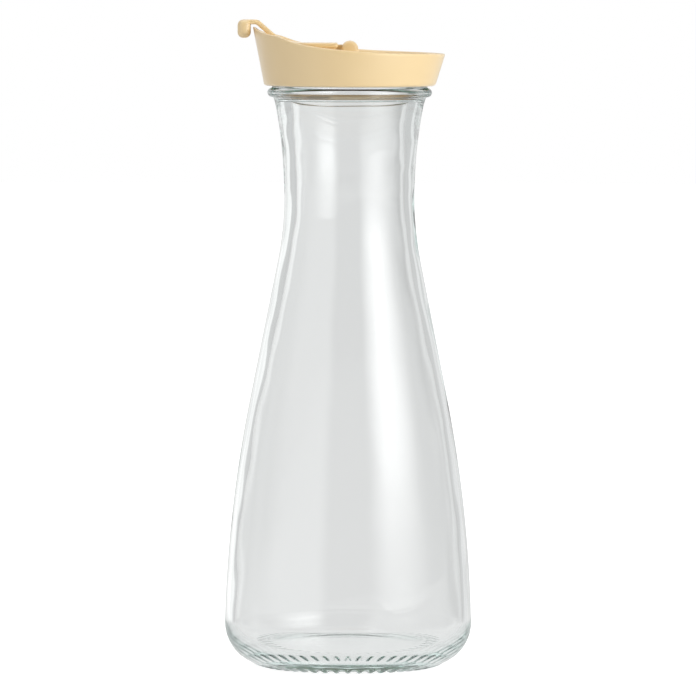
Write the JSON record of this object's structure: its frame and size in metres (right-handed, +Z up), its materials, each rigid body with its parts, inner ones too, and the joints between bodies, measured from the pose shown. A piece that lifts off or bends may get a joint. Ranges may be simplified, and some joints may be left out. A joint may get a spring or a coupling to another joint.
{
  "type": "glass jug with lid",
  "caption": "Slim-waisted clear glass jug with a push-in pouring lid: a flared rim rises to a spout, and a hinged flap covers the pour opening and hooks over the lip.",
  "frame": {"origin": "on the jug's axis, at the level that it stands on", "axes": "+Z up along the jug's axis, the spout points along -X, the flap's hinge runs along Y"},
  "size_m": [0.1026, 0.1024, 0.2683],
  "materials": {
    "glass": "clear, fire-polished",
    "cream_plastic": "fine satin, injection moulded",
    "silicone": "soft matt"
  },
  "bodies": {
    "jug": {"glass_jug": "glass"},
    "lid": {"lid_body": "cream_plastic", "lid_gasket": "silicone"},
    "flap": {"pour_flap": "cream_plastic"}
  },
  "joints": [
    {"name": "lid_lift", "type": "slide", "parent": "jug", "child": "lid", "axis": [0, 0, 1], "range_m": [0, 0.06]},
    {"name": "flap_hinge", "type": "hinge", "parent": "lid", "child": "flap", "pos_m": [0, 0, 0.2561], "axis": [0, 1, 0], "range_deg": [0, 160]}
  ]
}
